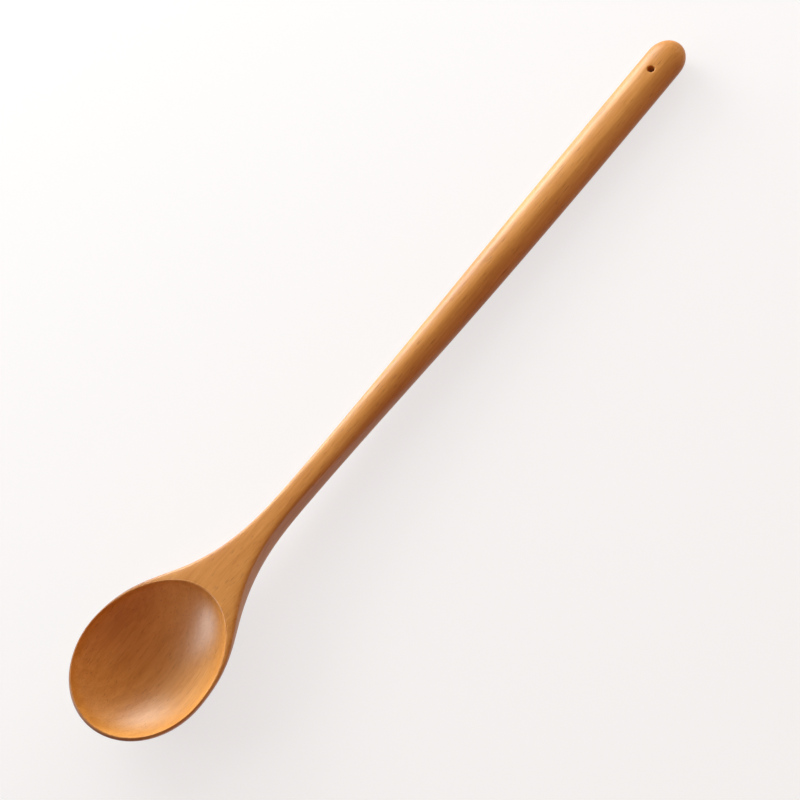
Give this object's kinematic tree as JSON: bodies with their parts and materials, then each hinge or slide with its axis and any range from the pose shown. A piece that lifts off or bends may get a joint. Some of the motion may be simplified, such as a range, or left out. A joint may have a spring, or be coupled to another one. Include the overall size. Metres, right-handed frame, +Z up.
{
  "type": "wooden spoon",
  "caption": "Carved wooden spoon with an oval hollow bowl, a slim neck that is flat on top, and an oval handle with a rounded end and a hanging hole.",
  "frame": {"origin": "centre of the bounding box at its base, on the surface that the bowl's back and the handle's end lie on", "axes": "+X from the bowl to the handle's end, +Y across the spoon, +Z up out of the bowl's opening"},
  "size_m": [0.33, 0.0518, 0.018],
  "materials": {
    "lacquered_wood": "satin lacquer over a fine straight grain"
  },
  "bodies": {
    "root": {"wooden_spoon": "lacquered_wood"}
  },
  "joints": []
}
